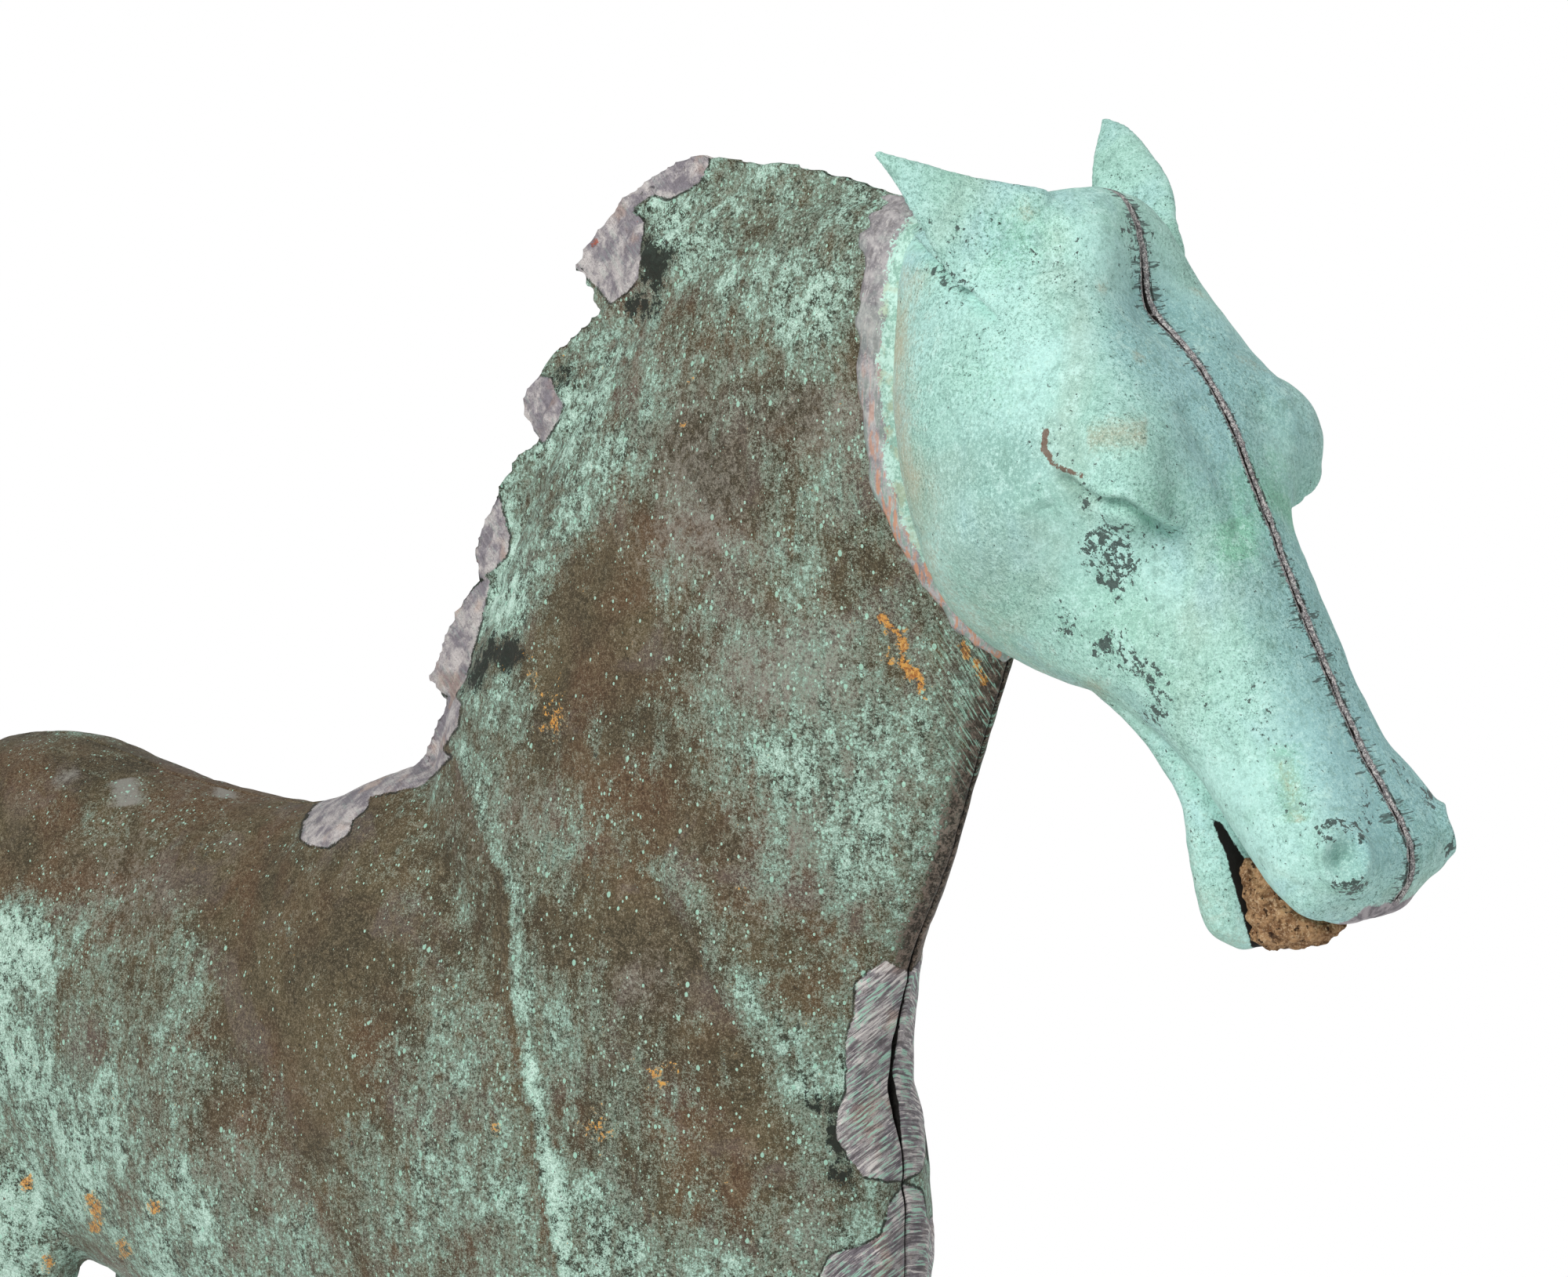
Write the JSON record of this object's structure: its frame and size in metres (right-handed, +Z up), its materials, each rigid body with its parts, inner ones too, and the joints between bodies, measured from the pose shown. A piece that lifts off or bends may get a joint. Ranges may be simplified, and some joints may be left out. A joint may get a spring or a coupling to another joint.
{
  "type": "horse weathervane",
  "caption": "Full-bodied trotting-horse weathervane of weathered copper with a cast head, turning on an iron spindle in a round roof foot.",
  "frame": {"origin": "centre of the foot's underside, on the spindle's axis", "axes": "+X the way the horse faces at rest, +Y the horse's left, +Z up along the spindle"},
  "size_m": [0.8743, 0.23, 0.8048],
  "materials": {
    "foot_iron": "black painted, rough cast",
    "spindle_steel": "dull, lightly rusted",
    "brass_tube": "tarnished",
    "bearing_bronze": "tarnished, greased",
    "copper_brown": "weathered copper sheet, brown with green speckle",
    "copper_green": "weathered copper sheet, green verdigris over brown",
    "head_casting": "pale green patina on a cast head, with dark pits",
    "lead_solder": "dull grey filed solder",
    "dried_mud": "rough dried mud"
  },
  "bodies": {
    "stand": {"roof_foot": "foot_iron", "spindle_rod": "spindle_steel", "hub_set_screw": "spindle_steel"},
    "vane": {"spindle_tube": "brass_tube", "thrust_cap": "bearing_bronze", "guide_bush": "bearing_bronze", "belly_collar": "copper_green", "tube_strap_upper": "copper_green", "tube_strap_lower": "copper_green", "body_right": "copper_brown", "head_right": "head_casting", "tail_right": "copper_brown", "fore_leg_right_outer": "copper_green", "fore_leg_right_inner": "copper_green", "fore_hoof_right": "copper_green", "hind_leg_right_outer": "copper_green", "hind_leg_right_inner": "copper_green", "hind_hoof_right": "copper_green", "body_left": "copper_brown", "head_left": "head_casting", "tail_left": "copper_brown", "fore_leg_left_outer": "copper_green", "fore_leg_left_inner": "copper_green", "fore_hoof_left": "copper_green", "hind_leg_left_outer": "copper_green", "hind_leg_left_inner": "copper_green", "hind_hoof_left": "copper_green", "neck_joint_solder": "lead_solder", "mouth_nest": "dried_mud"}
  },
  "joints": [
    {"name": "vane_spin", "type": "hinge", "parent": "stand", "child": "vane", "pos_m": [0, 0, 0.4], "axis": [0, 0, 1], "continuous": true}
  ]
}
